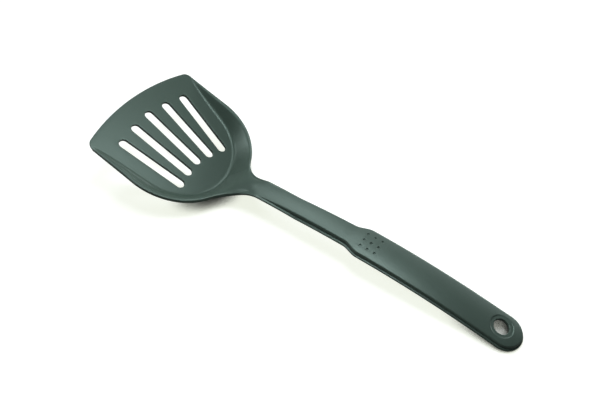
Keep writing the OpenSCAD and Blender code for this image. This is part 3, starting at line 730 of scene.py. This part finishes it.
def thumb_loops():
    """The handle's sections at a close pitch, with the dimples pressed into the top."""
    x = np.linspace(THUMB_START_X, THUMB_END_X, THUMB_N)
    loops = handle_loops(x, THUMB_CROWN_N)
    count = loops.shape[1]
    top = np.r_[np.arange(THUMB_CROWN_N + 1), np.arange(count - THUMB_CROWN_N, count)]
    lean = arch_a(x)[:, None]
    along = (loops[:, top, 0] - DIMPLE_X) / np.cos(arch_a(DIMPLE_X))
    drop = dimple_drop(along, loops[:, top, 1])
    loops[:, top, 0] -= drop * np.sin(lean)
    loops[:, top, 2] -= drop * np.cos(lean)
    return loops


def hanging_end():
    """The round end in the plane that touches the arch: rays from the hole's centre, each with its hole
    wall, dish, crown, rounded edge, side, lip and hollow underside."""
    hang_a = arch_a(HANGING_X)
    run = (TIP_X - HANGING_X) / np.cos(hang_a)
    hole = run - HOLE_AHEAD
    half = GRIP_HALF_W
    crown = crown_h(half)
    inner_half = half - SKIN
    corner_turn = np.arctan2(half, -hole)
    turns = np.concatenate([np.linspace(-corner_turn, corner_turn, END_N),
                            np.linspace(corner_turn, 2 * np.pi - corner_turn, JOINT_N)[1:-1]])
    cos, sin = np.cos(turns), np.sin(turns)
    # From the hole's centre to the round end's circle, to the straight side, or back to the joint's plane.
    b = -HOLE_AHEAD * cos
    round_t = -b + np.sqrt(np.maximum(b**2 - HOLE_AHEAD**2 + half**2, 0))
    side_t = half / np.maximum(np.abs(sin), 1e-9)
    on_round = hole + round_t * cos >= run
    on_plane = turns > corner_turn + 1e-9
    t_end = np.where(on_round, round_t, side_t)
    t_end = np.where(on_plane, -hole / np.minimum(cos, -1e-9), t_end)
    ends = np.stack([hole + t_end * cos, t_end * sin], -1)
    outward = np.where(on_round[:, None], unit(ends - [run, 0]),
                       np.stack([0 * sin, np.sign(sin)], -1))

    def spread(uv):
        """Distance from the middle line, or from the round end's centre."""
        return np.where(uv[..., 0] > run, np.hypot(uv[..., 0] - run, uv[..., 1]), np.abs(uv[..., 1]))

    def top_w(uv):
        """Height of the top above the plane: the crown, pressed down to the dish's level round the hole."""
        w = crown * (1 - (np.minimum(spread(uv), half) / half)**2)
        r = np.hypot(uv[..., 0] - hole, uv[..., 1])
        in_dish = 1 - smooth((r - DISH_D / 2 + DISH_RIM_IN) / DISH_RIM_W)
        return mix(w, np.minimum(w, DISH_RISE), in_dish)

    def under_w(uv):
        """Height of the underside: a crown of the inner half width, lower by the skin."""
        return crown * (1 - (np.minimum(spread(uv), inner_half) / inner_half)**2) - SKIN

    step = TIP_SIDE_H - LIP_T
    rows = []
    r0 = HOLE_D / 2
    direction = np.stack([cos, sin], -1)

    def add(uv, w):
        """Adds a ring of points at heights above the plane."""
        rows.append(np.concatenate([uv, np.broadcast_to(w, uv.shape[:1])[:, None]], -1))

    centre = np.array([hole, 0])
    for turn in QUARTER[::-1]:
        add(centre + direction * (r0 + HOLE_ROUND * (1 - np.sin(turn))),
            DISH_RISE - HOLE_ROUND * (1 - np.cos(turn)))
    edge = np.where(on_plane, 0, TOP_EDGE_ROUND)
    start = ends - outward * edge[:, None]
    for r in np.linspace(r0 + HOLE_ROUND, DISH_D / 2 + DISH_RIM_CLEAR, DISH_N)[1:]:
        uv = centre + direction * r
        add(uv, top_w(uv))
    last = rows[-1][:, :2].copy()
    for q in np.linspace(0, 1, END_TOP_N)[1:]:
        uv = mix(last, start, q)
        add(uv, top_w(uv))
    top_end = rows[-1].copy()
    # Outside the top edge: the section's points, or a plain upright face on the joint's plane.
    sizes = (half, crown, step, GRIP_LIP_W, SKIN, LIP_T, LIP_ROUND)
    section = half_sections(*[np.array([v]) for v in sizes])[0]
    outer = section[CROWN_N + 1:-(CROWN_N + 1)]
    plane_low = under_w(ends)
    for i, (y, w) in enumerate(outer):
        uv = ends + outward * (y - half)
        share = (i + 1) / (len(outer) + 1)
        w_plane = mix(top_end[:, 2], plane_low, share)
        uv = np.where(on_plane[:, None], ends, uv)
        add(uv, np.where(on_plane, w_plane, w))
    inner_end = np.where(on_plane[:, None], ends, ends - outward * SKIN)
    hole_low = centre + direction * (r0 + HOLE_ROUND)
    for q in np.linspace(0, 1, END_UNDER_N):
        uv = mix(inner_end, hole_low, q)
        add(uv, under_w(uv))
    for turn in QUARTER[1:]:
        uv = centre + direction * (r0 + HOLE_ROUND * (1 - np.sin(turn)))
        add(uv, under_w(uv) + HOLE_ROUND * (1 - np.cos(turn)))
    grid = np.array(rows)
    u, v, w = grid[..., 0], grid[..., 1], grid[..., 2]
    x = HANGING_X + u * np.cos(hang_a) + w * np.sin(hang_a)
    z = edge_z(HANGING_X) - u * np.sin(hang_a) + w * np.cos(hang_a)
    grid = np.stack([x, v, z], -1)
    faces = grid_faces(grid.shape[0], grid.shape[1], wrap_rows=True, wrap_cols=True)
    return mesh_piece("hanging_end_skin", to_row(grid), faces, "hanging_end")


class Value:
    """A socket of a material, with the operators that its expressions use."""

    def __init__(self, nodes, socket):
        self.nodes, self.socket = nodes, socket

    def maths(self, operation, first, second):
        """A Math node on two numbers or values."""
        return self.nodes.add("ShaderNodeMath", {"operation": operation}, [first, second])

    def __add__(self, other):
        return self.maths("ADD", self, other)

    def __mul__(self, other):
        return self.maths("MULTIPLY", self, other)

    def __sub__(self, other):
        return self.maths("SUBTRACT", self, other)

    def __rsub__(self, other):
        return self.maths("SUBTRACT", other, self)

    __radd__ = __add__
    __rmul__ = __mul__


class Finish:
    """A material under construction."""

    def __init__(self, name):
        self.material = bpy.data.materials.new(name)
        self.material.use_nodes = True
        self.tree = self.material.node_tree
        self.tree.nodes.clear()

    def add(self, kind, settings=(), values=(), output=0):
        """A node with its settings and its inputs' values or sockets; gives the named output as a Value."""
        node = self.tree.nodes.new(kind)
        for key, value in dict(settings).items():
            setattr(node, key, value)
        pairs = values.items() if isinstance(values, dict) else enumerate(values)
        for key, value in pairs:
            socket = node.inputs[key]
            if isinstance(value, Value):
                self.tree.links.new(value.socket, socket)
            else:
                socket.default_value = value
        return Value(self, node.outputs[output]) if node.outputs else None


# The nylon: the colour, roughness and strength of the grain of the blade and of the handle, and the
# greenish gloss of both.
BLADE_COLOUR, BLADE_ROUGH, BLADE_GRAIN = (0.051, 0.081, 0.066), 0.39, 0.55
HANDLE_COLOUR, HANDLE_ROUGH, HANDLE_GRAIN = (0.052, 0.081, 0.068), 0.39, 0.6
GLOSS_TINT, GLOSS_LEVEL, GLOSS_IOR = (0.74, 1.0, 0.93, 1.0), 0.62, 1.5
# Three noises, each with its scale, detail and roughness, and what they do to the shade (from dark to
# light of the colour), to the roughness and to the height of the grain, whose depth is in metres.
CLOUD, MOTTLE, GRAIN = (38, 3, 0.5), (420, 2, 0.5), (2600, 2, 0.6)
CLOUD_SHADE, MOTTLE_SHADE, GRAIN_SHADE = 0.16, 0.1, 0.14
LIGHTER, DARKER = 1.14, 0.86
CLOUD_ROUGH, GRAIN_ROUGH = 0.08, 0.12
MOTTLE_HEIGHT, GRAIN_HEIGHT, GRAIN_DEPTH = 0.3, 0.7, 0.06 * MM


def nylon(name, colour, rough, grain):
    """Matt moulded nylon: a fine spark-eroded grain, cloudy gloss and a faint variation of its colour."""
    f = Finish(name)
    place = f.add("ShaderNodeTexCoord", output="Object")

    def noise(scale, detail, roughness):
        """A noise over the piece's own coordinates."""
        return f.add("ShaderNodeTexNoise", {}, {"Vector": place, "Scale": scale, "Detail": detail,
                                                "Roughness": roughness})

    cloud, mottle, fine = noise(*CLOUD), noise(*MOTTLE), noise(*GRAIN)
    middle = (CLOUD_SHADE + MOTTLE_SHADE + GRAIN_SHADE) / 2
    shade = cloud * CLOUD_SHADE + mottle * MOTTLE_SHADE + fine * GRAIN_SHADE - middle
    light = (*(min(1, c * LIGHTER) for c in colour), 1)
    dark = (*(c * DARKER for c in colour), 1)
    # Of this node, inputs 6 and 7 and output 2 are the ones for colours.
    base = f.add("ShaderNodeMix", {"data_type": "RGBA"}, {0: shade + 0.5, 6: dark, 7: light}, output=2)
    gloss = rough + (cloud - 0.5) * CLOUD_ROUGH + (fine - 0.5) * GRAIN_ROUGH
    height = fine * GRAIN_HEIGHT + mottle * MOTTLE_HEIGHT
    bump = f.add("ShaderNodeBump", {}, {"Strength": grain, "Distance": GRAIN_DEPTH, "Height": height})
    shader = f.add("ShaderNodeBsdfPrincipled", {}, {
        "Base Color": base, "Roughness": gloss, "Normal": bump, "IOR": GLOSS_IOR,
        "Specular IOR Level": GLOSS_LEVEL, "Specular Tint": GLOSS_TINT})
    f.add("ShaderNodeOutputMaterial", {}, {"Surface": shader})
    return f.material


# The table: its own grey, which sends light back to the turner; the glow and the matt share that the camera
# sees;
# and the painted shade close under the turner, a dark grey drawn in place of its shadow, with how far it
# reaches and where it starts and ends.
TABLE_GREY, TABLE_GLOW, TABLE_MATT = (0.3, 0.3, 0.28, 1), (0.8, 0.83, 0.72, 1), (0.4, 0.4, 0.5, 1)
PAINTED_SHADE_GREY, COVER_REACH, COVER_STARTS, COVER_FULL = (0.09, 0.1, 0.09, 1), 14 * MM, 0.66, 0.3


def table_top():
    """Pale table: to the camera it glows towards white, and its matt share keeps the shadow. Close under the
    turner, where little of the room is open above it, it doesn't glow and shows a dark grey instead: painted
    shade."""
    f = Finish("white table")
    to_camera = f.add("ShaderNodeLightPath", output="Is Camera Ray")
    own = f.add("ShaderNodeBsdfDiffuse", {}, {"Color": TABLE_GREY})
    glow = f.add("ShaderNodeEmission", {}, {"Color": TABLE_GLOW, "Strength": 1.0})
    matt = f.add("ShaderNodeBsdfDiffuse", {}, {"Color": TABLE_MATT})
    free = f.add("ShaderNodeAmbientOcclusion", {"samples": 8}, {"Distance": COVER_REACH}, output="AO")
    # Painted shade: where the turner covers the table, the camera sees this dark grey in place of the glow.
    shade = f.add("ShaderNodeBsdfDiffuse", {}, {"Color": PAINTED_SHADE_GREY})
    painted_shade_share = f.add("ShaderNodeMapRange", {"interpolation_type": "SMOOTHSTEP"},
                    {"Value": free, "From Min": COVER_STARTS, "From Max": COVER_FULL})
    pale = f.add("ShaderNodeAddShader", {}, [glow, matt])
    shown = f.add("ShaderNodeMixShader", {}, [painted_shade_share, pale, shade])
    top = f.add("ShaderNodeMixShader", {}, [to_camera, own, shown])
    f.add("ShaderNodeOutputMaterial", {}, {"Surface": top})
    return f.material


# The pieces. The heel and the walls share the head's rays, and part where the neck's fillet starts.
head = head_loops(RAYS)
at_left = int(np.argmin(np.abs(RAYS - NECK_START_A)))
at_right = int(np.argmin(np.abs(RAYS + NECK_START_A)))
blade_pieces = [
    slotted_floor(),
    swept_piece("left_wall_skin", head[at_left:], "left_wall"),
    swept_piece("right_wall_skin", head[:at_right + 1], "right_wall"),
    swept_piece("heel_ramp_skin", head[at_right:at_left + 1], "heel_ramp"),
]
handle_pieces = [
    handle_piece("neck", CUT_X, NECK_END_X, NECK_N),
    handle_piece("shaft", NECK_END_X, SHOULDER_START_X, SHAFT_N),
    handle_piece("shoulder", SHOULDER_START_X, THUMB_START_X, SHOULDER_N),
    swept_piece("thumb_rest_skin", thumb_loops(), "thumb_rest"),
    handle_piece("grip", THUMB_END_X, HANGING_X, GRIP_N),
    hanging_end(),
]
blade_nylon = nylon("nylon_blade", BLADE_COLOUR, BLADE_ROUGH, BLADE_GRAIN)
handle_nylon = nylon("nylon_handle", HANDLE_COLOUR, HANDLE_ROUGH, HANDLE_GRAIN)
for piece in blade_pieces:
    piece.data.materials.append(blade_nylon)
for piece in handle_pieces:
    piece.data.materials.append(handle_nylon)

# The table, a little under the turner's lowest points, in metres.
TABLE_HALF_W, TABLE_Z = 8.0, -0.1 * MM
corners = [(-1, -1), (1, -1), (1, 1), (-1, 1)]
mesh = bpy.data.meshes.new("table")
mesh.from_pydata([(x * TABLE_HALF_W, y * TABLE_HALF_W, TABLE_Z) for x, y in corners], [], [(0, 1, 2, 3)])
table = bpy.data.objects.new("table", mesh)
bpy.context.scene.collection.objects.link(table)
table.data.materials.append(table_top())

# The room: white to the camera, and nearly dark as a light, because the lamps do the lighting.
ROOM_LIGHT = 0.04
world = bpy.data.worlds.new("room")
bpy.context.scene.world = world
world.use_nodes = True
tree = world.node_tree
tree.nodes.clear()
room = tree.nodes.new("ShaderNodeBackground")
room.inputs["Color"].default_value = (1, 1, 1, 1)
out = tree.nodes.new("ShaderNodeOutputWorld")
to_camera = tree.nodes.new("ShaderNodeLightPath").outputs["Is Camera Ray"]
seen = tree.nodes.new("ShaderNodeMapRange")
seen.inputs["To Min"].default_value = ROOM_LIGHT
tree.links.new(to_camera, seen.inputs["Value"])
tree.links.new(seen.outputs["Result"], room.inputs["Strength"])
tree.links.new(room.outputs[0], out.inputs["Surface"])

# Soft lamps, all turned to the middle of the turner: name, place in metres, width, height, watts.
LAMPS = [
    ("overhead", (0.01, 0.04, 0.46), 0.16, 0.16, 1.17),
    ("behind left", (-0.87, 0.94, 1.7), 0.7, 0.7, 11),
    ("left", (-1.3, -0.35, 0.7), 0.5, 0.5, 6.5),
    ("low behind", (0.17, 1.6, 0.2), 1.6, 0.35, 22),
]
for name, place, width, height, watts in LAMPS:
    data = bpy.data.lights.new(name, "AREA")
    data.shape = "RECTANGLE"
    data.size = width
    data.size_y = height
    data.energy = watts
    lamp = bpy.data.objects.new(name, data)
    lamp.location = place
    lamp.rotation_euler = (-Vector(place)).to_track_quat("-Z", "Y").to_euler()
    lamp.visible_camera = False
    bpy.context.scene.collection.objects.link(lamp)

# The camera of the photograph: its direction, its lens, and its distance in metres from a point on the
# turner that is given in millimetres from the datum. Its axes turn with the turner when it is set down.
AZ, EL, DISTANCE, LENS, SENSOR_W = np.radians(34.53), np.radians(48.0), 0.4214, 33.79, 36
AIM = np.array([109.88, 10.56, -7.07])
data = bpy.data.cameras.new("camera")
data.sensor_width = SENSOR_W
data.lens = LENS
camera = bpy.data.objects.new("camera", data)
bpy.context.scene.collection.objects.link(camera)
back = Vector((np.sin(AZ) * np.cos(EL), -np.cos(AZ) * np.cos(EL), np.sin(EL)))
right = Vector((np.cos(AZ), np.sin(AZ), 0))
up = back.cross(right)
turn = np.array([[np.cos(SETTLE), 0, np.sin(SETTLE)], [0, 1, 0], [-np.sin(SETTLE), 0, np.cos(SETTLE)]])
axes = [Vector(turn @ np.array(v)) for v in (right, up, back)]
place = Vector(to_row(AIM)) + axes[2] * DISTANCE
camera.matrix_world = Matrix.Translation(place) @ Matrix(axes).transposed().to_4x4()
bpy.context.scene.camera = camera
bpy.context.scene.view_settings.view_transform = "Standard"
